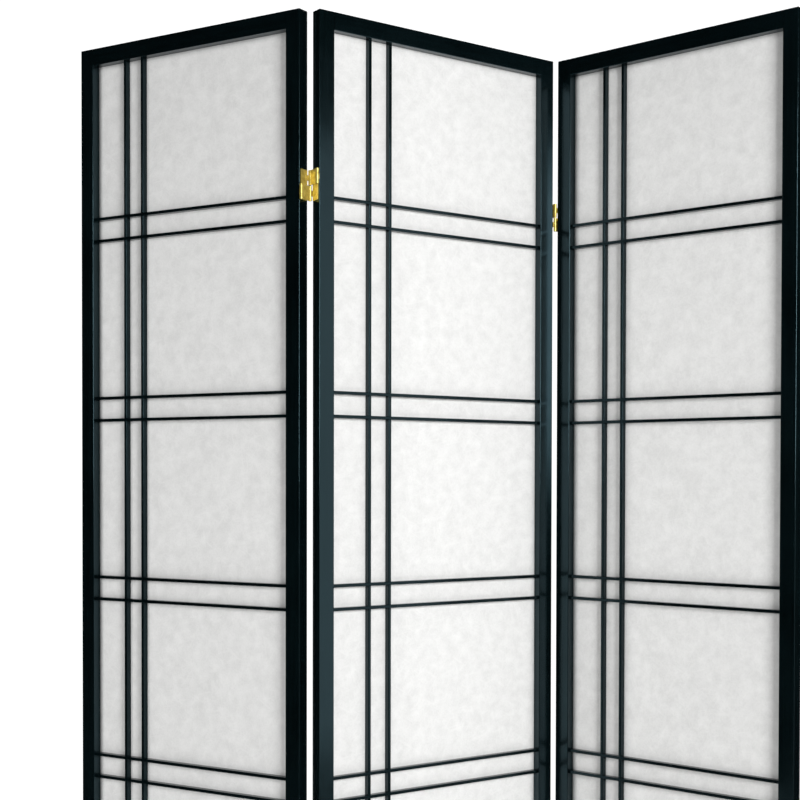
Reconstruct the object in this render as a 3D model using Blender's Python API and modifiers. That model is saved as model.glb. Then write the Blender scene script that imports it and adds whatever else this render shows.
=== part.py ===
"""Three-panel folding screen: lacquered frames, double-cross lattice, paper, two-way hinges.

In a panel's own frame X runs along its width from the left edge, Y from the front face to the
back, and Z up from the floor. The middle panel stands still. The outer panels turn about the
barrel rows of their two-way hinges: the left one about its back row, the right one about its
front row, so the screen closes like a concertina.
"""

import math

import bmesh
import bpy
from mathutils import Matrix, Vector

# Panel frame, in metres.
PANEL_WIDTH = 0.432
PANEL_HEIGHT = 1.784
PANEL_THICKNESS = 0.019
STILE_WIDTH = 0.025
RAIL_HEIGHT = 0.026
FOOT_HEIGHT = 0.094
EDGE_ROUND = 0.0006
CLEARANCE = 0.0003

# Joinery of the frame.
TENON_LENGTH = 0.015
TENON_FRONT = 0.005
TENON_THICKNESS = 0.006
TENON_SHOULDER = 0.005

# Lattice of half-lapped slats, flush with each other in front of the paper.
SLAT_FACE = 0.0048
SLAT_RECESS = 0.0045
SLAT_LET_IN = 0.003
VERTICAL_SLATS = (0.0888, 0.1240)
PAIR_COUNT = 5
PAIR_PITCH = 0.281
FIRST_PAIR_DROP = 0.283
PAIR_SPACING = 0.0345

# Paper sheet in its saw kerf.
PAPER_DEPTH = 0.0139
PAPER_THICKNESS = 0.0005
KERF_DEPTH = 0.004

# Two-way hinges: each has a front and a back barrel row, in an upper and a lower half.
HINGE_INSET = 0.250
AXIS_OFFSET = 0.0040
AXIS_PROUD = 0.0007
BARREL_RADIUS = 0.0026
BORE_RADIUS = 0.0013
PIN_RADIUS = 0.00105
LEAF_THICKNESS = 0.0012
LINK_THICKNESS = 0.0012
HALF_HEIGHT = 0.0215
HALF_GAP = 0.001
LEAF_KNUCKLE_HEIGHT = 0.0079
SCREW_HOLE_RADIUS = 0.0018
SCREW_SPREAD = 0.0135
PILOT_RADIUS = 0.0012
PILOT_DEPTH = 0.013
BARREL_SIDES = 12
HOLE_SIDES = 10

# How the screen stands: turn of the middle panel, and each seam's fold away from flat.
MIDDLE_TURN = math.radians(36.9)
LEFT_FOLD = math.radians(67.4)
RIGHT_FOLD = math.radians(77.4)

INNER_WIDTH = PANEL_WIDTH - STILE_WIDTH
TOP_RAIL_LOW = PANEL_HEIGHT - RAIL_HEIGHT
BOTTOM_RAIL_TOP = FOOT_HEIGHT + RAIL_HEIGHT
SLAT_BACK = PAPER_DEPTH - CLEARANCE
BACK_ROW = PANEL_THICKNESS + AXIS_PROUD
FRONT_ROW = -AXIS_PROUD
HALF_CENTRE = (HALF_HEIGHT + HALF_GAP) / 2
HINGE_LEVELS = {"upper": PANEL_HEIGHT - HINGE_INSET, "lower": HINGE_INSET}
OVERCUT = 0.002

FINISHES = {
    "lacquer": ((0.012, 0.018, 0.019), 0.34, 0.0),
    "paper": ((0.80, 0.80, 0.77), 0.92, 0.0),
    "brass": ((0.72, 0.50, 0.14), 0.28, 1.0),
}


def clear_scene():
    for obj in list(bpy.data.objects):
        bpy.data.objects.remove(obj, do_unlink=True)


def new_collection(name):
    collection = bpy.data.collections.new(name)
    bpy.context.scene.collection.children.link(collection)
    return collection


def new_finish(name):
    colour, roughness, metallic = FINISHES[name]
    material = bpy.data.materials.new(name)
    material.use_nodes = True
    shader = material.node_tree.nodes["Principled BSDF"]
    shader.inputs["Base Color"].default_value = (*colour, 1.0)
    shader.inputs["Roughness"].default_value = roughness
    shader.inputs["Metallic"].default_value = metallic
    return material


def new_panel(name, turn, anchor, position):
    """A panel's parent empty; anchor is the point of the panel's frame that the empty holds."""
    empty = bpy.data.objects.new(name + "_panel", None)
    empty.rotation_euler = (0.0, 0.0, turn)
    empty.location = position
    empty.empty_display_size = 0.05
    PARTS.objects.link(empty)
    return {"empty": empty, "anchor": Vector(anchor)}


def place(obj, origin, panel, finish):
    """Put an object at a point of its panel's frame; with no finish it is a cutter or an add-on."""
    obj.parent = panel["empty"]
    obj.location = Vector(origin) - panel["anchor"]
    if finish is None:
        TOOLS.objects.link(obj)
        obj.hide_render = True
        obj.display_type = "WIRE"
    else:
        PARTS.objects.link(obj)
        obj.data.materials.append(MATERIALS[finish])
    return obj


def box_object(name, spans, panel, finish=None):
    """One object of one or more boxes, each given by its low and high corner."""
    middles = [(Vector(low) + Vector(high)) / 2 for low, high in spans]
    origin = sum(middles, Vector()) / len(spans)
    bm = bmesh.new()
    for (low, high), middle in zip(spans, middles):
        size = Vector(high) - Vector(low)
        matrix = Matrix.Translation(middle - origin) @ Matrix.Diagonal((*size, 1.0))
        bmesh.ops.create_cube(bm, size=1.0, matrix=matrix)
    mesh = bpy.data.meshes.new(name)
    bm.to_mesh(mesh)
    bm.free()
    return place(bpy.data.objects.new(name, mesh), origin, panel, finish)


def round_object(name, centres, radius, length, panel, finish=None, along_x=False, sides=BARREL_SIDES):
    """One object of one or more cylinders, upright or lying along the panel's width."""
    origin = sum((Vector(centre) for centre in centres), Vector()) / len(centres)
    turn = Matrix.Rotation(math.pi / 2, 4, "Y") if along_x else Matrix.Identity(4)
    bm = bmesh.new()
    for centre in centres:
        matrix = Matrix.Translation(Vector(centre) - origin) @ turn
        bmesh.ops.create_cone(
            bm, cap_ends=True, segments=sides, radius1=radius, radius2=radius,
            depth=length, matrix=matrix)
    mesh = bpy.data.meshes.new(name)
    bm.to_mesh(mesh)
    bm.free()
    mesh.shade_smooth()
    mesh.set_sharp_from_angle(angle=math.radians(40))
    return place(bpy.data.objects.new(name, mesh), origin, panel, finish)


def combine(target, operand, operation):
    modifier = target.modifiers.new(operand.name, "BOOLEAN")
    modifier.object = operand
    modifier.operation = operation
    modifier.solver = "EXACT"


def soften_edges(obj):
    modifier = obj.modifiers.new("edge_round", "BEVEL")
    modifier.width = EDGE_ROUND
    modifier.segments = 1
    modifier.limit_method = "ANGLE"


def pair_heights():
    """Centre heights of all the horizontal slats, from the top pair down."""
    heights = []
    for pair in range(PAIR_COUNT):
        middle = PANEL_HEIGHT - FIRST_PAIR_DROP - pair * PAIR_PITCH
        heights += [middle + PAIR_SPACING / 2, middle - PAIR_SPACING / 2]
    return heights


def slat_span(along, across, grow, let_in):
    """Corners of one slat: along is its run, across its centre on the other axis."""
    half = SLAT_FACE / 2 + grow
    start, end = along
    front, back = SLAT_RECESS - grow, SLAT_BACK + grow
    return (start - let_in, end + let_in, across - half, across + half, front, back)


def horizontal_spans(grow=0.0, let_in=SLAT_LET_IN):
    spans = []
    for height in pair_heights():
        x0, x1, z0, z1, y0, y1 = slat_span((STILE_WIDTH, INNER_WIDTH), height, grow, let_in)
        spans.append(((x0, y0, z0), (x1, y1, z1)))
    return spans


def vertical_spans(grow=0.0, let_in=SLAT_LET_IN):
    spans = []
    for centre in VERTICAL_SLATS:
        z0, z1, x0, x1, y0, y1 = slat_span((BOTTOM_RAIL_TOP, TOP_RAIL_LOW), centre, grow, let_in)
        spans.append(((x0, y0, z0), (x1, y1, z1)))
    return spans


def tenon_heights(rail_low):
    return rail_low + TENON_SHOULDER, rail_low + RAIL_HEIGHT - TENON_SHOULDER


def make_stile(side, name, panel, hinged):
    """A stile with its rail mortises, slat sockets, paper kerf and hinge pilot holes."""
    outer = 0.0 if side == "left" else PANEL_WIDTH
    inward = 1.0 if side == "left" else -1.0
    inner = outer + inward * STILE_WIDTH
    low_x, high_x = min(outer, inner), max(outer, inner)
    stile = box_object(
        name, [((low_x, 0.0, 0.0), (high_x, PANEL_THICKNESS, PANEL_HEIGHT))], panel, "lacquer")
    soften_edges(stile)

    # Everything below is cut from the inner edge outwards, by the given depth.
    def inner_span(depth, y0, y1, z0, z1):
        x0, x1 = sorted((inner - inward * depth, inner + inward * OVERCUT))
        return ((x0, y0, z0), (x1, y1, z1))

    mortises = []
    for rail_low in (FOOT_HEIGHT, TOP_RAIL_LOW):
        z0, z1 = tenon_heights(rail_low)
        mortises.append(inner_span(
            TENON_LENGTH + CLEARANCE, TENON_FRONT - CLEARANCE,
            TENON_FRONT + TENON_THICKNESS + CLEARANCE, z0 - CLEARANCE, z1 + CLEARANCE))
    combine(stile, box_object(name + "_mortises", mortises, panel), "DIFFERENCE")

    kerf = inner_span(
        KERF_DEPTH, PAPER_DEPTH - CLEARANCE, PAPER_DEPTH + PAPER_THICKNESS + CLEARANCE,
        BOTTOM_RAIL_TOP - KERF_DEPTH, TOP_RAIL_LOW + KERF_DEPTH)
    combine(stile, box_object(name + "_kerf", [kerf], panel), "DIFFERENCE")

    sockets = []
    for low, high in horizontal_spans(grow=CLEARANCE):
        sockets.append(inner_span(SLAT_LET_IN + CLEARANCE, low[1], high[1], low[2], high[2]))
    combine(stile, box_object(name + "_sockets", sockets, panel), "DIFFERENCE")

    if hinged:
        middle_x = outer + inward * (PILOT_DEPTH - OVERCUT) / 2
        centres = []
        for level in HINGE_LEVELS.values():
            for z in (level - SCREW_SPREAD, level + SCREW_SPREAD):
                centres.append((middle_x, PANEL_THICKNESS / 2, z))
        pilots = round_object(
            name + "_pilots", centres, PILOT_RADIUS, PILOT_DEPTH + OVERCUT, panel,
            along_x=True, sides=HOLE_SIDES)
        combine(stile, pilots, "DIFFERENCE")
    return stile


def make_rail(name, panel, rail_low, opening_side):
    """A rail with tenons; opening_side is +1 when the paper is above it and -1 when below."""
    shoulder_left = STILE_WIDTH + CLEARANCE
    shoulder_right = INNER_WIDTH - CLEARANCE
    rail = box_object(name, [(
        (shoulder_left, 0.0, rail_low),
        (shoulder_right, PANEL_THICKNESS, rail_low + RAIL_HEIGHT))], panel, "lacquer")
    soften_edges(rail)

    z0, z1 = tenon_heights(rail_low)
    tenons = box_object(name + "_tenons", [
        ((STILE_WIDTH - TENON_LENGTH, TENON_FRONT, z0),
         (shoulder_left + OVERCUT, TENON_FRONT + TENON_THICKNESS, z1)),
        ((shoulder_right - OVERCUT, TENON_FRONT, z0),
         (INNER_WIDTH + TENON_LENGTH, TENON_FRONT + TENON_THICKNESS, z1))], panel)
    combine(rail, tenons, "UNION")

    inner = rail_low + RAIL_HEIGHT if opening_side > 0 else rail_low
    kerf_z = sorted((inner - opening_side * KERF_DEPTH, inner + opening_side * OVERCUT))
    kerf = box_object(name + "_kerf", [(
        (shoulder_left - OVERCUT, PAPER_DEPTH - CLEARANCE, kerf_z[0]),
        (shoulder_right + OVERCUT, PAPER_DEPTH + PAPER_THICKNESS + CLEARANCE, kerf_z[1]))], panel)
    combine(rail, kerf, "DIFFERENCE")

    socket_z = sorted((inner - opening_side * (SLAT_LET_IN + CLEARANCE), inner + opening_side * OVERCUT))
    sockets = []
    for low, high in vertical_spans(grow=CLEARANCE):
        sockets.append(((low[0], low[1], socket_z[0]), (high[0], high[1], socket_z[1])))
    combine(rail, box_object(name + "_sockets", sockets, panel), "DIFFERENCE")
    return rail


def make_lattice(name, panel):
    """Two uprights and all the pairs of cross slats, half-lapped and glued into one grid."""
    lattice = box_object(name, vertical_spans(), panel, "lacquer")
    combine(lattice, box_object(name + "_cross_slats", horizontal_spans(), panel), "UNION")
    return lattice


def make_paper(name, panel):
    tuck = KERF_DEPTH - CLEARANCE
    low = (STILE_WIDTH - tuck, PAPER_DEPTH, BOTTOM_RAIL_TOP - tuck)
    high = (INNER_WIDTH + tuck, PAPER_DEPTH + PAPER_THICKNESS, TOP_RAIL_LOW + tuck)
    return box_object(name, [(low, high)], panel, "paper")


def make_leaf(name, panel, side, level):
    """A leaf on a stile's outer edge, with one knuckle on each barrel row."""
    edge = 0.0 if side == "left" else PANEL_WIDTH
    outward = -1.0 if side == "left" else 1.0
    plate_x = sorted((edge + outward * CLEARANCE, edge + outward * (CLEARANCE + LEAF_THICKNESS)))
    axis_x = edge + outward * AXIS_OFFSET
    half_leaf = HALF_HEIGHT + HALF_GAP / 2
    front_side = 1.0 if side == "left" else -1.0
    front_z = level + front_side * HALF_CENTRE
    back_z = level - front_side * HALF_CENTRE
    # the plate stops short of the links' barrels
    reach = BARREL_RADIUS + CLEARANCE
    plate_y = (FRONT_ROW + reach, BACK_ROW - reach)
    leaf = box_object(name, [(
        (plate_x[0], plate_y[0], level - half_leaf),
        (plate_x[1], plate_y[1], level + half_leaf))], panel, "brass")

    half_knuckle = LEAF_KNUCKLE_HEIGHT / 2
    tabs = box_object(name + "_tabs", [
        ((plate_x[0], FRONT_ROW, front_z - half_knuckle),
         (plate_x[1], plate_y[0] + OVERCUT, front_z + half_knuckle)),
        ((plate_x[0], plate_y[1] - OVERCUT, back_z - half_knuckle),
         (plate_x[1], BACK_ROW, back_z + half_knuckle))], panel)
    combine(leaf, tabs, "UNION")

    rows = [(axis_x, FRONT_ROW, front_z), (axis_x, BACK_ROW, back_z)]
    knuckles = round_object(name + "_knuckles", rows, BARREL_RADIUS, LEAF_KNUCKLE_HEIGHT, panel)
    combine(leaf, knuckles, "UNION")
    bores = round_object(
        name + "_bores", rows, BORE_RADIUS, LEAF_KNUCKLE_HEIGHT + OVERCUT, panel, sides=HOLE_SIDES)
    combine(leaf, bores, "DIFFERENCE")

    holes = [(edge, PANEL_THICKNESS / 2, level + side_z * SCREW_SPREAD) for side_z in (-1, 1)]
    screw_holes = round_object(
        name + "_screw_holes", holes, SCREW_HOLE_RADIUS, 2 * OVERCUT + LEAF_THICKNESS, panel,
        along_x=True, sides=HOLE_SIDES)
    combine(leaf, screw_holes, "DIFFERENCE")
    return leaf


def make_link(name, panel, side, centre_z):
    """A link plate between the two barrel rows, notched for the leaves' knuckles."""
    axis_x = -AXIS_OFFSET if side == "left" else PANEL_WIDTH + AXIS_OFFSET
    half_plate = LINK_THICKNESS / 2
    low_z, high_z = centre_z - HALF_HEIGHT / 2, centre_z + HALF_HEIGHT / 2
    link = box_object(name, [(
        (axis_x - half_plate, FRONT_ROW, low_z),
        (axis_x + half_plate, BACK_ROW, high_z))], panel, "brass")

    rows = [(axis_x, FRONT_ROW, centre_z), (axis_x, BACK_ROW, centre_z)]
    combine(link, round_object(name + "_barrels", rows, BARREL_RADIUS, HALF_HEIGHT, panel), "UNION")

    reach = BARREL_RADIUS + CLEARANCE
    half_notch = LEAF_KNUCKLE_HEIGHT / 2 + CLEARANCE
    notches = []
    for row in (FRONT_ROW, BACK_ROW):
        notches.append((
            (axis_x - reach - OVERCUT, row - reach, centre_z - half_notch),
            (axis_x + reach + OVERCUT, row + reach, centre_z + half_notch)))
    combine(link, box_object(name + "_notches", notches, panel), "DIFFERENCE")

    bores = round_object(
        name + "_bores", rows, BORE_RADIUS, HALF_HEIGHT + OVERCUT, panel, sides=HOLE_SIDES)
    combine(link, bores, "DIFFERENCE")

    for row_name, centre in zip(("front", "back"), rows):
        round_object(
            name + "_" + row_name + "_pin", [centre], PIN_RADIUS, HALF_HEIGHT, panel, "brass",
            sides=HOLE_SIDES)
    return link


def make_panel_pieces(name, panel):
    prefix = name + "_panel_"
    make_stile("left", prefix + "left_stile", panel, hinged=name != "left")
    make_stile("right", prefix + "right_stile", panel, hinged=name != "right")
    make_rail(prefix + "top_rail", panel, TOP_RAIL_LOW, -1.0)
    make_rail(prefix + "bottom_rail", panel, FOOT_HEIGHT, 1.0)
    make_lattice(prefix + "lattice", panel)
    make_paper(prefix + "paper", panel)


def make_hinge(prefix, left, right, top_on_left, bottom_on_left, level):
    """A hinge on the seam between two panels; each link stands on the panel that carries it."""
    make_leaf(prefix + "left_leaf", left, "right", level)
    make_leaf(prefix + "right_leaf", right, "left", level)
    for link, on_left, centre_z in (
            ("top_link", top_on_left, level + HALF_CENTRE),
            ("bottom_link", bottom_on_left, level - HALF_CENTRE)):
        panel, side = (left, "right") if on_left else (right, "left")
        make_link(prefix + link, panel, side, centre_z)


def panel_frame(panel_position, turn, anchor):
    return Matrix.Translation(panel_position) @ Matrix.Rotation(turn, 4, "Z") @ Matrix.Translation(
        -Vector(anchor))


def plan_centre(frames):
    """Middle of the whole screen's plan, barrels included."""
    reaches = []
    for name, frame in frames.items():
        for x in (0.0, PANEL_WIDTH):
            for y in (0.0, PANEL_THICKNESS):
                reaches.append((frame @ Vector((x, y, 0.0)), 0.0))
        rows = {"left": (PANEL_WIDTH + AXIS_OFFSET,), "right": (-AXIS_OFFSET,)}
        for x in rows.get(name, (-AXIS_OFFSET, PANEL_WIDTH + AXIS_OFFSET)):
            for y in (FRONT_ROW, BACK_ROW):
                reaches.append((frame @ Vector((x, y, 0.0)), BARREL_RADIUS))
    lows = [min(point[axis] - reach for point, reach in reaches) for axis in (0, 1)]
    highs = [max(point[axis] + reach for point, reach in reaches) for axis in (0, 1)]
    return Vector(((lows[0] + highs[0]) / 2, (lows[1] + highs[1]) / 2, 0.0))


clear_scene()
PARTS = new_collection("folding_screen")
TOOLS = new_collection("folding_screen_cutters")
MATERIALS = {name: new_finish(name) for name in FINISHES}

# Each panel's turn, and the point of its frame that its parent empty holds: the joint's axis
# for the outer panels, the front left corner for the middle one.
turns = {"left": MIDDLE_TURN - LEFT_FOLD, "middle": MIDDLE_TURN, "right": MIDDLE_TURN - RIGHT_FOLD}
anchors = {
    "left": (PANEL_WIDTH + AXIS_OFFSET, BACK_ROW, 0.0),
    "middle": (0.0, 0.0, 0.0),
    "right": (-AXIS_OFFSET, FRONT_ROW, 0.0),
}
middle_turn = Matrix.Rotation(MIDDLE_TURN, 4, "Z")
positions = {
    "left": middle_turn @ Vector((-AXIS_OFFSET, BACK_ROW, 0.0)),
    "middle": Vector(),
    "right": middle_turn @ Vector((PANEL_WIDTH + AXIS_OFFSET, FRONT_ROW, 0.0)),
}
centre = plan_centre({
    name: panel_frame(positions[name], turns[name], anchors[name]) for name in turns})

panels = {}
for name in turns:
    panels[name] = new_panel(name, turns[name], anchors[name], positions[name] - centre)
    make_panel_pieces(name, panels[name])
for level_name, level in HINGE_LEVELS.items():
    make_hinge("left_seam_" + level_name + "_hinge_", panels["left"], panels["middle"],
               top_on_left=False, bottom_on_left=True, level=level)
    make_hinge("right_seam_" + level_name + "_hinge_", panels["middle"], panels["right"],
               top_on_left=True, bottom_on_left=False, level=level)
bpy.context.view_layer.update()
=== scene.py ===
import math

import bmesh
import bpy
from mathutils import Matrix, Vector


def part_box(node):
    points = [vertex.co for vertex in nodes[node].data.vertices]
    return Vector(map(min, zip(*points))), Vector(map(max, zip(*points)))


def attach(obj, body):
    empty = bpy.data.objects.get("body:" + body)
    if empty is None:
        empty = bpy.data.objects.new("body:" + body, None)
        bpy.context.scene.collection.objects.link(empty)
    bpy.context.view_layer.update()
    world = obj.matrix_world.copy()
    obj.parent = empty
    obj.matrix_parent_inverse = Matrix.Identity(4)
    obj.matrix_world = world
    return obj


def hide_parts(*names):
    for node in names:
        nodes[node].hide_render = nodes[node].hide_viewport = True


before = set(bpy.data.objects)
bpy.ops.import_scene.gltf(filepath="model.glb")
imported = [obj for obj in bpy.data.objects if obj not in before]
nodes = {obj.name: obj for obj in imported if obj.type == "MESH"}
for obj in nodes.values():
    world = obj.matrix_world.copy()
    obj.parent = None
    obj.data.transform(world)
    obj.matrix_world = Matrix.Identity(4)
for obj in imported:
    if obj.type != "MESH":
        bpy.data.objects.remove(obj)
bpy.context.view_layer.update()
scene = bpy.context.scene
scene.view_settings.view_transform = "Standard"
print("frame loaded:", len(nodes), "nodes")


# Where the camera stands, and how it looks at the half-open screen.
camera = {
    "place": (0.1002, -2.2314, 1.1122),
    "turn": -0.0084,
    "tilt": -0.0179,
    "roll": 0.0030,
    "lens": 65.76,
    "shift": (-0.1287, 0.1317),
}


def makeCamera():
    data = bpy.data.cameras.new("camera")
    data.sensor_width = 36
    data.lens = camera["lens"]
    data.shift_x, data.shift_y = camera["shift"]
    view = bpy.data.objects.new("camera", data)
    turn = Matrix.Rotation(camera["turn"], 4, "Z")
    tilt = Matrix.Rotation(math.pi / 2 + camera["tilt"], 4, "X")
    roll = Matrix.Rotation(camera["roll"], 4, "Z")
    view.matrix_world = Matrix.Translation(camera["place"]) @ turn @ tilt @ roll
    scene.collection.objects.link(view)
    scene.camera = view


makeCamera()


# Each panel has a frame of its own: X along its width, Y front to back, Z up, all turned about
# the world's origin, so that a piece is built straight and then turned into place.
def turnOf(node):
    points = sorted({tuple(round(c, 6) for c in v.co) for v in nodes[node].data.vertices})
    half = len(points) // 2
    leftEnd = sum((Vector(p) for p in points[:half]), Vector()) / half
    rightEnd = sum((Vector(p) for p in points[half:]), Vector()) / (len(points) - half)
    across = rightEnd - leftEnd
    return math.atan2(across.y, across.x)


def localBox(node, turn):
    back = Matrix.Rotation(-turn, 4, "Z")
    points = [back @ v.co for v in nodes[node].data.vertices]
    low = Vector(min(p[i] for p in points) for i in range(3))
    high = Vector(max(p[i] for p in points) for i in range(3))
    return low, high


panels = {}
for name in ("left", "middle", "right"):
    turn = turnOf(name + "_panel_paper")
    leftStile = localBox(name + "_panel_left_stile", turn)
    rightStile = localBox(name + "_panel_right_stile", turn)
    panels[name] = {
        "turn": turn,
        "place": Matrix.Rotation(turn, 4, "Z"),
        "body": name + "_panel",
        "low": leftStile[0],
        "high": rightStile[1],
    }
print("panels turned", [round(math.degrees(p["turn"]), 1) for p in panels.values()])


# Node helpers for the finishes.
def newMaterial(name):
    material = bpy.data.materials.new(name)
    material.use_nodes = True
    tree = material.node_tree
    return material, tree, tree.nodes["Principled BSDF"]


def objectPoint(tree, turn=0.0, stretch=(1, 1, 1)):
    # object coordinates, turned into a panel's own frame and then stretched along the grain
    where = tree.nodes.new("ShaderNodeTexCoord")
    straight = tree.nodes.new("ShaderNodeMapping")
    straight.inputs["Rotation"].default_value = (0, 0, -turn)
    stretched = tree.nodes.new("ShaderNodeMapping")
    stretched.inputs["Scale"].default_value = stretch
    tree.links.new(where.outputs["Object"], straight.inputs["Vector"])
    tree.links.new(straight.outputs["Vector"], stretched.inputs["Vector"])
    return stretched.outputs["Vector"]


def noise(tree, point, scale, detail=3.0, rough=0.5):
    node = tree.nodes.new("ShaderNodeTexNoise")
    node.inputs["Scale"].default_value = scale
    node.inputs["Detail"].default_value = detail
    node.inputs["Roughness"].default_value = rough
    tree.links.new(point, node.inputs["Vector"])
    return node.outputs["Fac"]


def ramp(tree, source, stops):
    node = tree.nodes.new("ShaderNodeValToRGB")
    elements = node.color_ramp.elements
    elements[0].position, elements[0].color = stops[0][0], (*stops[0][1], 1)
    elements[1].position, elements[1].color = stops[-1][0], (*stops[-1][1], 1)
    for place, colour in stops[1:-1]:
        elements.new(place).color = (*colour, 1)
    tree.links.new(source, node.inputs["Fac"])
    return node.outputs["Color"]


def span(tree, source, low, high, fromLow=0.0, fromHigh=1.0):
    node = tree.nodes.new("ShaderNodeMapRange")
    node.inputs["From Min"].default_value = fromLow
    node.inputs["From Max"].default_value = fromHigh
    node.inputs["To Min"].default_value = low
    node.inputs["To Max"].default_value = high
    tree.links.new(source, node.inputs["Value"])
    return node.outputs["Result"]


def blendValues(tree, first, second, kind, amount=1.0):
    node = tree.nodes.new("ShaderNodeMath")
    node.operation = kind
    tree.links.new(first, node.inputs[0])
    if second is None:
        node.inputs[1].default_value = amount
    else:
        tree.links.new(second, node.inputs[1])
    return node.outputs["Value"]


def bump(tree, height, strength, distance, under=None):
    node = tree.nodes.new("ShaderNodeBump")
    node.inputs["Strength"].default_value = strength
    node.inputs["Distance"].default_value = distance
    tree.links.new(height, node.inputs["Height"])
    if under is not None:
        tree.links.new(under, node.inputs["Normal"])
    return node.outputs["Normal"]


# Black lacquer over wood whose pores still show a little, with a green-blue cast in the gloss.
lacquer = {
    "dark": (0.0005, 0.0019, 0.0022),
    "light": (0.0015, 0.0045, 0.0053),
    "gloss": (0.12, 0.19),
    "frameSpecular": 0.48,
    "slatSpecular": 0.30,
    "specularTint": (0.50, 0.86, 1.0),
    "poreScale": 260,
    "poreStretch": 0.035,
    "poreDepth": 0.00004,
    "cloudScale": 9,
    "handledScale": 26,
    "peelScale": 420,
    "peelDepth": 0.000025,
}


def makeLacquer(name, turn, upright, specular):
    material, tree, shader = newMaterial(name)
    stretch = (1, 1, lacquer["poreStretch"]) if upright else (lacquer["poreStretch"], 1, 1)
    grain = objectPoint(tree, turn, stretch)
    pores = noise(tree, grain, lacquer["poreScale"], 4.0, 0.62)
    plain = objectPoint(tree, turn)
    clouds = noise(tree, plain, lacquer["cloudScale"], 3.0)
    mixed = blendValues(tree, blendValues(tree, pores, clouds, "ADD"), None, "MULTIPLY", 0.5)
    tree.links.new(
        ramp(tree, mixed, [(0.38, lacquer["dark"]), (0.62, lacquer["light"])]),
        shader.inputs["Base Color"])
    handled = noise(tree, plain, lacquer["handledScale"], 4.0, 0.6)
    tree.links.new(span(tree, handled, *lacquer["gloss"], 0.3, 0.7), shader.inputs["Roughness"])
    peel = bump(tree, noise(tree, plain, lacquer["peelScale"], 2.0), 0.5, lacquer["peelDepth"])
    porous = span(tree, pores, 0.0, 1.0, 0.30, 0.52)
    tree.links.new(bump(tree, porous, 0.6, lacquer["poreDepth"], peel), shader.inputs["Normal"])
    shader.inputs["Specular IOR Level"].default_value = specular
    shader.inputs["Specular Tint"].default_value = (*lacquer["specularTint"], 1)
    return material


# White fibre paper: cloudy pulp with long pale fibres lying every way in it.
washi = {
    "dark": (0.74, 0.74, 0.732),
    "light": (0.85, 0.85, 0.842),
    "fibre": (0.90, 0.90, 0.89),
    "rough": 0.92,
    "sheen": 0.25,
    "cloudScale": 55,
    "speckScale": 420,
    "fibreTurns": (12, 58, 101, 149),
    "fibreScale": 260,
    "fibreStretch": 0.12,
    "fibreShare": 0.25,
    "relief": 0.00012,
}


def makePaper(name, turn):
    material, tree, shader = newMaterial(name)
    plain = objectPoint(tree, turn)
    clouds = noise(tree, plain, washi["cloudScale"], 5.0, 0.62)
    specks = noise(tree, plain, washi["speckScale"], 2.0, 0.5)
    cloudy = span(tree, clouds, 0, 0.7, 0.32, 0.68)
    speckled = span(tree, specks, 0, 0.3, 0.3, 0.7)
    pulp = blendValues(tree, cloudy, speckled, "ADD")
    threads = None
    for index, angle in enumerate(washi["fibreTurns"]):
        # each set of fibres is noise drawn out along its own direction in the sheet
        where = objectPoint(tree, turn)
        leaned = tree.nodes.new("ShaderNodeMapping")
        leaned.inputs["Rotation"].default_value = (0, math.radians(angle), 0)
        leaned.inputs["Location"].default_value = (3.1 * index, 0, 1.7 * index)
        tree.links.new(where, leaned.inputs["Vector"])
        drawn = tree.nodes.new("ShaderNodeMapping")
        drawn.inputs["Scale"].default_value = (washi["fibreStretch"], 1, 1)
        tree.links.new(leaned.outputs["Vector"], drawn.inputs["Vector"])
        strand = noise(tree, drawn.outputs["Vector"], washi["fibreScale"], 2.0, 0.45)
        thin = span(tree, strand, 0.0, 1.0, 0.60, 0.72)
        threads = thin if threads is None else blendValues(tree, threads, thin, "MAXIMUM")
    base = ramp(tree, pulp, [(0.1, washi["dark"]), (0.9, washi["light"])])
    mix = tree.nodes.new("ShaderNodeMix")
    mix.data_type = "RGBA"
    mix.inputs["B"].default_value = (*washi["fibre"], 1)
    share = blendValues(tree, threads, None, "MULTIPLY", washi["fibreShare"])
    tree.links.new(share, mix.inputs["Factor"])
    tree.links.new(base, mix.inputs["A"])
    tree.links.new(mix.outputs["Result"], shader.inputs["Base Color"])
    relief = blendValues(tree, pulp, threads, "ADD")
    tree.links.new(bump(tree, relief, 0.25, washi["relief"]), shader.inputs["Normal"])
    shader.inputs["Roughness"].default_value = washi["rough"]
    shader.inputs["Specular IOR Level"].default_value = washi["sheen"]
    return material


# Brass, a little tarnished, with fine scratches.
brass = {
    "dark": (0.50, 0.37, 0.06),
    "light": (0.82, 0.68, 0.20),
    "gloss": (0.34, 0.50),
    "metal": 0.72,
    "stainScale": 160,
    "scratchScale": 2600,
    "scratchStretch": 0.08,
    "scratchDepth": 0.00002,
}


def makeBrass(name):
    material, tree, shader = newMaterial(name)
    plain = objectPoint(tree)
    stain = noise(tree, plain, brass["stainScale"], 4.0, 0.6)
    stops = [(0.3, brass["dark"]), (0.62, brass["light"])]
    tree.links.new(ramp(tree, stain, stops), shader.inputs["Base Color"])
    scratched = objectPoint(tree, 0.0, (1, 1, brass["scratchStretch"]))
    scratches = noise(tree, scratched, brass["scratchScale"], 2.0, 0.6)
    tree.links.new(span(tree, stain, *brass["gloss"], 0.7, 0.3), shader.inputs["Roughness"])
    tree.links.new(bump(tree, scratches, 0.3, brass["scratchDepth"]), shader.inputs["Normal"])
    shader.inputs["Metallic"].default_value = brass["metal"]
    return material


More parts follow.
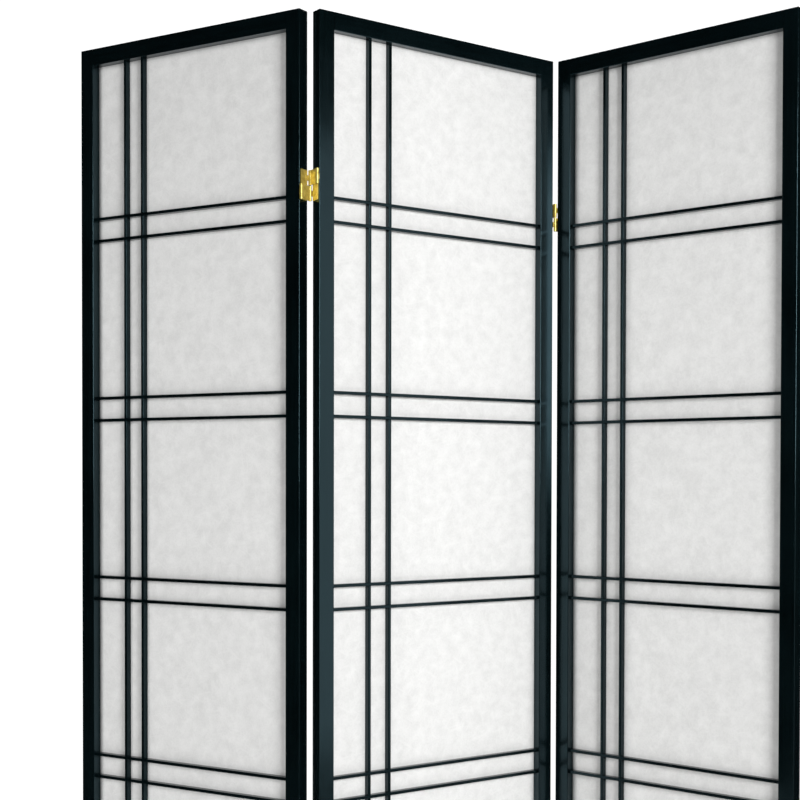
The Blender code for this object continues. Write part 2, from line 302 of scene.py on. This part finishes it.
brassFinish = makeBrass("polishedBrass")
for name, panel in panels.items():
    for grain, upright in (("upright", True), ("across", False)):
        title = name + grain.capitalize()
        panel[grain] = makeLacquer(title + "Lacquer", panel["turn"], upright, lacquer["frameSpecular"])
        panel[grain + "Slat"] = makeLacquer(
            title + "SlatLacquer", panel["turn"], upright, lacquer["slatSpecular"])
    panel["paperFinish"] = makePaper(name + "Washi", panel["turn"])
print("finishes made")


# Turning a bmesh into a finished piece that rides on its panel.
def finishPiece(bm, name, place, material, body, replaced=(), crisp=35):
    bmesh.ops.remove_doubles(bm, verts=bm.verts, dist=0.000005)
    bmesh.ops.recalc_face_normals(bm, faces=bm.faces)
    bm.transform(place)
    mesh = bpy.data.meshes.new(name)
    bm.to_mesh(mesh)
    bm.free()
    return settlePiece(mesh, name, material, body, replaced, crisp)


def settlePiece(mesh, name, material, body, replaced=(), crisp=35):
    mesh.materials.clear()
    mesh.materials.append(material)
    mesh.shade_smooth()
    mesh.set_sharp_from_angle(angle=math.radians(crisp))
    piece = bpy.data.objects.new(name, mesh)
    scene.collection.objects.link(piece)
    smooth = piece.modifiers.new("evenShading", "WEIGHTED_NORMAL")
    smooth.keep_sharp = True
    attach(piece, body)
    if replaced:
        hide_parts(*replaced)
    return piece


def boxMesh(low, high):
    bm = bmesh.new()
    size = high - low
    matrix = Matrix.Translation((low + high) / 2) @ Matrix.Diagonal((*size, 1))
    bmesh.ops.create_cube(bm, size=1, matrix=matrix)
    return bm


def roundEdges(bm, edges, width, segments):
    bmesh.ops.bevel(
        bm, geom=edges, offset=width, offset_type="OFFSET", affect="EDGES", segments=segments,
        profile=0.5, material=-1)


def cutAt(bm, axis, place):
    normal = Vector((0, 0, 0))
    normal[axis] = 1
    point = Vector((0, 0, 0))
    point[axis] = place
    geometry = bm.verts[:] + bm.edges[:] + bm.faces[:]
    bmesh.ops.bisect_plane(bm, geom=geometry, plane_co=point, plane_no=normal, dist=0.00001)


def plough(bm, axis, facing, level, window, depth):
    # sinks a groove of that depth into the faces that lie at level, inside the window
    (lowA, highA), (lowB, highB) = window
    a, b = [i for i in range(3) if i != axis]
    for value in (lowA, highA):
        cutAt(bm, a, value)
    for value in (lowB, highB):
        cutAt(bm, b, value)
    sunk = []
    for face in bm.faces:
        middle = face.calc_center_median()
        inA = lowA < middle[a] < highA
        inB = lowB < middle[b] < highB
        if inA and inB and abs(middle[axis] - level) < 0.0001 and face.normal[axis] * facing > 0.9:
            sunk.append(face)
    moved = bmesh.ops.extrude_face_region(bm, geom=sunk)
    verts = [e for e in moved["geom"] if isinstance(e, bmesh.types.BMVert)]
    step = Vector((0, 0, 0))
    step[axis] = -facing * depth
    bmesh.ops.translate(bm, verts=verts, vec=step)
    bmesh.ops.delete(bm, geom=[f for f in sunk if f.is_valid], context="FACES")


# Frame members: planed square, arrises eased, a saw kerf for the paper on the inner edge.
member = {
    "easing": 0.00095,
    "easingSteps": 4,
    "kerfRoom": 0.0003,
    "kerfDepth": 0.004,
    "kerfStop": 0.0006,
}


def kerfSpan(name, panel):
    low, high = localBox(name + "_panel_paper", panel["turn"])
    return low.y - member["kerfRoom"], high.y + member["kerfRoom"]


def makeStile(name, panel, side):
    node = name + "_panel_" + side + "_stile"
    low, high = localBox(node, panel["turn"])
    bm = boxMesh(low, high)
    roundEdges(bm, bm.edges[:], member["easing"], member["easingSteps"])
    paper = localBox(name + "_panel_paper", panel["turn"])
    inner, facing = (high.x, 1) if side == "left" else (low.x, -1)
    plough(bm, 0, facing, inner, (kerfSpan(name, panel), (paper[0].z, paper[1].z)), member["kerfDepth"])
    finishPiece(bm, name + side.capitalize() + "Stile", panel["place"], panel["upright"],
                panel["body"], [node])


def makeRail(name, panel, side):
    node = name + "_panel_" + side + "_rail"
    low, high = localBox(node, panel["turn"])
    stiles = [localBox(name + "_panel_" + s + "_stile", panel["turn"]) for s in ("left", "right")]
    # the node's box holds the tenons, which the mortises hide
    low.x, high.x = stiles[0][1].x + member["kerfRoom"], stiles[1][0].x - member["kerfRoom"]
    bm = boxMesh(low, high)
    lengthwise = [e for e in bm.edges if abs((e.verts[0].co - e.verts[1].co).x) > 0.1]
    roundEdges(bm, lengthwise, member["easing"], member["easingSteps"])
    inner, facing = (low.z, -1) if side == "top" else (high.z, 1)
    ends = (low.x + member["kerfStop"], high.x - member["kerfStop"])
    plough(bm, 2, facing, inner, (ends, kerfSpan(name, panel)), member["kerfDepth"])
    finishPiece(bm, name + side.capitalize() + "Rail", panel["place"], panel["across"],
                panel["body"], [node])


# Slats: half-lapped where they cross, with slightly rounded arrises.
slat = {
    "face": 0.0048,
    "letIn": 0.0022,
    "easing": 0.0008,
    "easingSteps": 4,
    "backEasing": 0.0002,
    "lapRoom": 0.00006,
    "uprights": (0.0888, 0.1240),
    "pairs": 5,
    "pairPitch": 0.281,
    "firstDrop": 0.283,
    "pairSpacing": 0.0345,
}


def slatMesh(length, depth, laps, lapSide):
    # outline of the slat seen from its edge: X along it, Y through its depth, with a housing at
    # each lap, cut from the front (-1) or the back (+1); then drawn out to the slat's face width
    bm = bmesh.new()
    halfLap = slat["face"] / 2 + slat["lapRoom"]
    floor = depth / 2 + (slat["lapRoom"] if lapSide < 0 else -slat["lapRoom"])
    cutEdge = [(0, 0)]
    level = 0 if lapSide < 0 else depth
    for place in laps:
        cutEdge += [(place - halfLap, level), (place - halfLap, floor)]
        cutEdge += [(place + halfLap, floor), (place + halfLap, level)]
    if lapSide < 0:
        outline = cutEdge + [(length, 0), (length, depth), (0, depth)]
    else:
        outline = [(length, 0), (0, 0), (0, depth)] + cutEdge[1:] + [(length, depth)]
    corners = [bm.verts.new((x, y, -slat["face"] / 2)) for x, y in outline]
    side = bm.faces.new(corners)
    raised = bmesh.ops.extrude_face_region(bm, geom=[side])
    verts = [e for e in raised["geom"] if isinstance(e, bmesh.types.BMVert)]
    bmesh.ops.translate(bm, verts=verts, vec=(0, 0, slat["face"]))
    bmesh.ops.recalc_face_normals(bm, faces=bm.faces)
    front, back = [], []
    for edge in bm.edges:
        # only the arrises that run along the slat, away from the laps' floors
        run = edge.verts[0].co - edge.verts[1].co
        y = edge.verts[0].co.y
        if abs(run.x) < 0.006 or abs(run.y) + abs(run.z) > 0.0001:
            continue
        if y < 0.0001:
            front.append(edge)
        elif y > depth - 0.0001:
            back.append(edge)
    roundEdges(bm, back, slat["backEasing"], 1)
    roundEdges(bm, front, slat["easing"], slat["easingSteps"])
    return bm


def crossHeights(panel):
    heights = []
    for pair in range(slat["pairs"]):
        middle = panel["high"].z - slat["firstDrop"] - pair * slat["pairPitch"]
        heights += [middle + slat["pairSpacing"] / 2, middle - slat["pairSpacing"] / 2]
    return heights


def makeLattice(name, panel):
    node = name + "_panel_lattice"
    low, high = localBox(node, panel["turn"])
    stiles = [localBox(name + "_panel_" + s + "_stile", panel["turn"]) for s in ("left", "right")]
    rails = [localBox(name + "_panel_" + s + "_rail", panel["turn"]) for s in ("bottom", "top")]
    startX, endX = stiles[0][1].x - slat["letIn"], stiles[1][0].x + slat["letIn"]
    startZ, endZ = rails[0][1].z - slat["letIn"], rails[1][0].z + slat["letIn"]
    depth = high.y - low.y
    uprightX = [panel["low"].x + x for x in slat["uprights"]]
    heights = crossHeights(panel)
    stand = Matrix.Rotation(-math.pi / 2, 4, "Y")
    for index, x in enumerate(uprightX):
        laps = sorted(z - startZ for z in heights)
        bm = slatMesh(endZ - startZ, depth, laps, -1)
        bm.transform(Matrix.Translation((x, low.y, startZ)) @ stand)
        finishPiece(bm, name + "UprightSlat" + str(index + 1), panel["place"], panel["uprightSlat"],
                    panel["body"], [node])
    for index, z in enumerate(heights):
        laps = [x - startX for x in uprightX]
        bm = slatMesh(endX - startX, depth, laps, 1)
        bm.transform(Matrix.Translation((startX, low.y, z)))
        finishPiece(bm, name + "CrossSlat" + str(index + 1), panel["place"], panel["acrossSlat"],
                    panel["body"], [node])


# Paper: one sheet to a panel, hardly uneven, with its edges in the kerf.
sheet = {
    "columns": 30,
    "rows": 120,
    "waviness": 0.00009,
    "thickness": 0.0005,
}


def makeSheet(name, panel):
    node = name + "_panel_paper"
    low, high = localBox(node, panel["turn"])
    size = high - low
    bm = bmesh.new()
    lay = Matrix.Translation((low + high) / 2) @ Matrix.Rotation(math.pi / 2, 4, "X")
    lay = lay @ Matrix.Diagonal((size.x, size.z, 1, 1))
    bmesh.ops.create_grid(
        bm, x_segments=sheet["columns"], y_segments=sheet["rows"], size=0.5, matrix=lay)
    for vert in bm.verts:
        u, v = (vert.co.x - low.x) / size.x, (vert.co.z - low.z) / size.z
        held = min(1, 12 * min(u, 1 - u, 4 * v, 4 * (1 - v)))
        wave = math.sin(9.2 * u + 2.1 + 3 * v) * math.sin(31 * v + 1.3 * u)
        vert.co.y += held * sheet["waviness"] * wave
    piece = finishPiece(bm, name + "Paper", panel["place"], panel["paperFinish"],
                        panel["body"], [node], crisp=60)
    body = piece.modifiers.new("thickness", "SOLIDIFY")
    body.thickness = sheet["thickness"]
    body.offset = 0


for name, panel in panels.items():
    for side in ("left", "right"):
        makeStile(name, panel, side)
    for side in ("bottom", "top"):
        makeRail(name, panel, side)
    makeLattice(name, panel)
    makeSheet(name, panel)
    print(name, "panel made")


# Two-way hinge, in a frame of its own: X away from the stile's edge, Y front to back from the
# edge's middle, Z up from the hinge's middle.
hinge = {
    "levels": {"upper": "upper_hinge", "lower": "lower_hinge"},
    "gap": 0.0003,
    "leafThickness": 0.0012,
    "leafHalfWidth": 0.0073,
    "leafHalfHeight": 0.022,
    "leafCorner": 0.0012,
    "stileHalfDepth": 0.0095,
    "axisOut": 0.0040,
    "axisProud": 0.0007,
    "barrelRadius": 0.0025,
    "boreRadius": 0.0013,
    "pinRadius": 0.00105,
    "halfHeight": 0.0215,
    "halfGap": 0.001,
    "knuckle": 0.0079,
    "linkThickness": 0.0012,
    "sides": 32,
    "softening": 0.00014,
    "tabLap": 0.002,
    "sinkRadii": (0.0013, 0.0027),
    "sinkDepth": 0.0024,
    "sinkInset": 0.0004,
    "pinRounding": 0.0006,
    "screwSpread": 0.0135,
    "headRadii": (0.0011, 0.0023),
    "headDepth": 0.0012,
    "headInset": 0.0007,
    "shankRadii": (0.0006, 0.0011),
    "shankInset": 0.0010,
    "shankLength": 0.0125,
    "recessSize": (0.0014, 0.00055, 0.0028),
}
rowOut = hinge["stileHalfDepth"] + hinge["axisProud"]
halfCentre = (hinge["halfHeight"] + hinge["halfGap"]) / 2


def cylinderMesh(bm, centre, radius, length, lie=False, top=None):
    turn = Matrix.Rotation(math.pi / 2, 4, "Y") if lie else Matrix.Identity(4)
    bmesh.ops.create_cone(
        bm, cap_ends=True, segments=hinge["sides"], radius1=radius,
        radius2=radius if top is None else top, depth=length, matrix=Matrix.Translation(centre) @ turn)
    return bm


def joined(base, others):
    # base and others are bmeshes; the others are added to or cut from the base, in order
    mesh = bpy.data.meshes.new("work")
    base.to_mesh(mesh)
    base.free()
    work = bpy.data.objects.new("work", mesh)
    scene.collection.objects.link(work)
    tools = []
    for bm, operation in others:
        toolMesh = bpy.data.meshes.new("tool")
        bm.to_mesh(toolMesh)
        bm.free()
        tool = bpy.data.objects.new("tool", toolMesh)
        scene.collection.objects.link(tool)
        cut = work.modifiers.new("cut", "BOOLEAN")
        cut.object = tool
        cut.operation = operation
        cut.solver = "EXACT"
        tools.append(tool)
    soften = work.modifiers.new("soften", "BEVEL")
    soften.width = hinge["softening"]
    soften.segments = 2
    soften.limit_method = "ANGLE"
    soften.angle_limit = math.radians(50)
    bpy.context.view_layer.update()
    evaluated = work.evaluated_get(bpy.context.evaluated_depsgraph_get())
    result = bpy.data.meshes.new_from_object(evaluated)
    for tool in tools + [work]:
        bpy.data.objects.remove(tool)
    return result


def leafMesh():
    low = Vector((hinge["gap"], -hinge["leafHalfWidth"], -hinge["leafHalfHeight"]))
    high = Vector((low.x + hinge["leafThickness"], -low.y, -low.z))
    plate = boxMesh(low, high)
    corners = [e for e in plate.edges if abs((e.verts[0].co - e.verts[1].co).x) > 0.001]
    roundEdges(plate, corners, hinge["leafCorner"], 4)
    # the knuckle in front is in the lower half, and the one behind in the upper half
    tabs = bmesh.new()
    knuckles, bores = bmesh.new(), bmesh.new()
    for side in (-1, 1):
        inner, outer = side * (hinge["leafHalfWidth"] - hinge["tabLap"]), side * rowOut
        y0, y1 = sorted((inner, outer))
        z = side * halfCentre
        middle = Vector(((low.x + high.x) / 2, (y0 + y1) / 2, z))
        size = Vector((high.x - low.x, y1 - y0, hinge["knuckle"]))
        matrix = Matrix.Translation(middle) @ Matrix.Diagonal((*size, 1))
        bmesh.ops.create_cube(tabs, size=1, matrix=matrix)
        centre = (hinge["axisOut"], outer, z)
        cylinderMesh(knuckles, centre, hinge["barrelRadius"], hinge["knuckle"])
        cylinderMesh(bores, centre, hinge["boreRadius"], 1.5 * hinge["knuckle"])
    sinks = bmesh.new()
    narrow, wide = hinge["sinkRadii"]
    for side in (-1, 1):
        # widest at the leaf's outer face, so that the head lies flush
        centre = (high.x - hinge["sinkInset"], 0, side * hinge["screwSpread"])
        cylinderMesh(sinks, centre, narrow, hinge["sinkDepth"], lie=True, top=wide)
    steps = [(tabs, "UNION"), (knuckles, "UNION"), (bores, "DIFFERENCE"), (sinks, "DIFFERENCE")]
    return joined(plate, steps)


def linkMesh():
    half = hinge["linkThickness"] / 2
    low = Vector((-half, -rowOut, -hinge["halfHeight"] / 2))
    high = Vector((half, rowOut, hinge["halfHeight"] / 2))
    plate = boxMesh(low, high)
    barrels, bores, notches = bmesh.new(), bmesh.new(), bmesh.new()
    reach = hinge["barrelRadius"] + hinge["gap"]
    for side in (-1, 1):
        cylinderMesh(barrels, (0, side * rowOut, 0), hinge["barrelRadius"], hinge["halfHeight"])
        cylinderMesh(bores, (0, side * rowOut, 0), hinge["boreRadius"], hinge["halfHeight"] + 0.002)
        size = (4 * reach, 2 * reach, hinge["knuckle"] + 2 * hinge["gap"])
        place = Matrix.Translation((0, side * rowOut, 0))
        bmesh.ops.create_cube(notches, size=1, matrix=place @ Matrix.Diagonal((*size, 1)))
    return joined(plate, [(barrels, "UNION"), (notches, "DIFFERENCE"), (bores, "DIFFERENCE")])


def pinMesh():
    bm = bmesh.new()
    cylinderMesh(bm, (0, 0, 0), hinge["pinRadius"], hinge["halfHeight"])
    ends = [e for e in bm.edges if abs(e.verts[0].co.z - e.verts[1].co.z) < 0.0001]
    roundEdges(bm, ends, hinge["pinRounding"], 4)
    mesh = bpy.data.meshes.new("pin")
    bm.to_mesh(mesh)
    bm.free()
    return mesh


def screwMesh():
    # a countersunk head with a cross recess, and a tapering shank in the pilot hole
    outerFace = hinge["gap"] + hinge["leafThickness"]
    head = bmesh.new()
    narrow, wide = hinge["headRadii"]
    centre = (outerFace - hinge["headInset"], 0, 0)
    cylinderMesh(head, centre, narrow, hinge["headDepth"], lie=True, top=wide)
    shank = bmesh.new()
    thin, thick = hinge["shankRadii"]
    centre = (outerFace - hinge["shankInset"] - hinge["shankLength"] / 2, 0, 0)
    cylinderMesh(shank, centre, thin, hinge["shankLength"], lie=True, top=thick)
    depth, slit, reach = hinge["recessSize"]
    face = Matrix.Translation((outerFace, 0, 0))
    recess, crossed = bmesh.new(), bmesh.new()
    bmesh.ops.create_cube(recess, size=1, matrix=face @ Matrix.Diagonal((depth, slit, reach, 1)))
    bmesh.ops.create_cube(crossed, size=1, matrix=face @ Matrix.Diagonal((depth, reach, slit, 1)))
    return joined(head, [(shank, "UNION"), (recess, "DIFFERENCE"), (crossed, "DIFFERENCE")])


hingeParts = {"leaf": leafMesh(), "link": linkMesh(), "pin": pinMesh(), "screw": screwMesh()}


def placeHingePart(kind, name, place, body, replaced=()):
    mesh = hingeParts[kind].copy()
    mesh.transform(place)
    return settlePiece(mesh, name, brassFinish, body, replaced, crisp=32)


def edgeFrame(panel, edge, level):
    # stands on a panel's left or right edge, looking outwards
    middleY = (panel["low"].y + panel["high"].y) / 2
    if edge == "right":
        return panel["place"] @ Matrix.Translation((panel["high"].x, middleY, level))
    turned = Matrix.Rotation(math.pi, 4, "Z")
    return panel["place"] @ Matrix.Translation((panel["low"].x, middleY, level)) @ turned


def makeHinge(seam, levelName, left, right, carriers):
    prefix = seam + "_seam_" + hinge["levels"][levelName] + "_"
    title = seam + levelName.capitalize() + "Hinge"
    low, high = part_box(prefix + "left_leaf")
    level = (low.z + high.z) / 2
    for leafSide, panel, edge in (("left", left, "right"), ("right", right, "left")):
        place = edgeFrame(panel, edge, level)
        placeHingePart("leaf", title + leafSide.capitalize() + "Leaf", place, panel["body"],
                       [prefix + leafSide + "_leaf"])
        for index, side in enumerate((-1, 1)):
            tilt = Matrix.Rotation(0.5 + 0.9 * index + level, 4, "X")
            spot = place @ Matrix.Translation((0, 0, side * hinge["screwSpread"])) @ tilt
            placeHingePart("screw", title + leafSide.capitalize() + "Screw" + str(index + 1), spot,
                           panel["body"])
    for linkName, side in (("top_link", 1), ("bottom_link", -1)):
        panel, edge = (left, "right") if carriers[linkName] == "left" else (right, "left")
        place = edgeFrame(panel, edge, level)
        centre = place @ Matrix.Translation((hinge["axisOut"], 0, side * halfCentre))
        label = title + linkName.split("_")[0].capitalize()
        placeHingePart("link", label + "Link", centre, panel["body"], [prefix + linkName])
        # a left edge's frame is turned half round, so its front row lies at +Y
        front = -1 if edge == "right" else 1
        for rowName, row in (("front", front), ("back", -front)):
            spot = centre @ Matrix.Translation((0, row * rowOut, 0))
            placeHingePart("pin", label + rowName.capitalize() + "Pin", spot, panel["body"],
                           [prefix + linkName + "_" + rowName + "_pin"])


for levelName in hinge["levels"]:
    makeHinge("left", levelName, panels["left"], panels["middle"],
              {"top_link": "right", "bottom_link": "left"})
    makeHinge("right", levelName, panels["middle"], panels["right"],
              {"top_link": "left", "bottom_link": "right"})
print("hinges made")


# Studio: a pale floor, a white surround and soft lights.
studio = {
    "floor": 2.4,
    "floorColour": (0.80, 0.80, 0.79),
    "floorRough": 0.8,
    "floorDrop": 0.0005,
    "surround": 0.05,
    "mirrored": 0.012,
    "target": (0, 0, 1.1),
    "keyPlace": (1.5, -3.0, 1.75),
    "keySize": (1.15, 1.2),
    "keyPower": 95,
    "fillPlace": (-1.75, -1.45, 1.0),
    "fillSize": (1.4, 1.6),
    "fillPower": 17.5,
    "sidePlace": (2.24, -1.15, 1.2),
    "sideSize": (1.2, 2.0),
    "sidePower": 9.5,
    "sideTarget": (-0.15, -0.1, 1.1),
    "rearPlace": (0.2, 2.9, 2.6),
    "rearSize": (2.4, 1.6),
    "rearPower": 70,
    "rearTarget": (0, 0, 0.8),
}


def makeFloor():
    bm = bmesh.new()
    bmesh.ops.create_grid(bm, x_segments=1, y_segments=1, size=studio["floor"])
    mesh = bpy.data.meshes.new("floor")
    bm.to_mesh(mesh)
    bm.free()
    floor = bpy.data.objects.new("floor", mesh)
    floor.location.z = -studio["floorDrop"]
    scene.collection.objects.link(floor)
    material, tree, shader = newMaterial("floor")
    shader.inputs["Base Color"].default_value = (*studio["floorColour"], 1)
    shader.inputs["Roughness"].default_value = studio["floorRough"]
    mesh.materials.append(material)


def makeSurround():
    # white where the camera sees it, dimmer where it lights the screen
    world = bpy.data.worlds.new("studio")
    world.use_nodes = True
    scene.world = world
    tree = world.node_tree
    back = tree.nodes["Background"]
    back.inputs["Color"].default_value = (1, 1, 1, 1)
    path = tree.nodes.new("ShaderNodeLightPath")
    lit = span(tree, path.outputs["Is Glossy Ray"], studio["surround"], studio["mirrored"])
    seen = span(tree, path.outputs["Is Camera Ray"], 0, 1.05)
    tree.links.new(blendValues(tree, lit, seen, "ADD"), back.inputs["Strength"])


def makeLight(name, target="target"):
    data = bpy.data.lights.new(name, "AREA")
    data.energy = studio[name + "Power"]
    data.shape = "RECTANGLE"
    data.size, data.size_y = studio[name + "Size"]
    light = bpy.data.objects.new(name, data)
    light.location = studio[name + "Place"]
    aim = Vector(studio[target]) - light.location
    light.rotation_euler = aim.to_track_quat("-Z", "Y").to_euler()
    light.visible_camera = False
    scene.collection.objects.link(light)
    return light


makeFloor()
makeSurround()
makeLight("key")
fill = makeLight("fill")
fill.visible_glossy = False  # kept out of the lacquer, which would mirror it as a pale patch
makeLight("side", "sideTarget")
makeLight("rear", "rearTarget")
print("studio made")
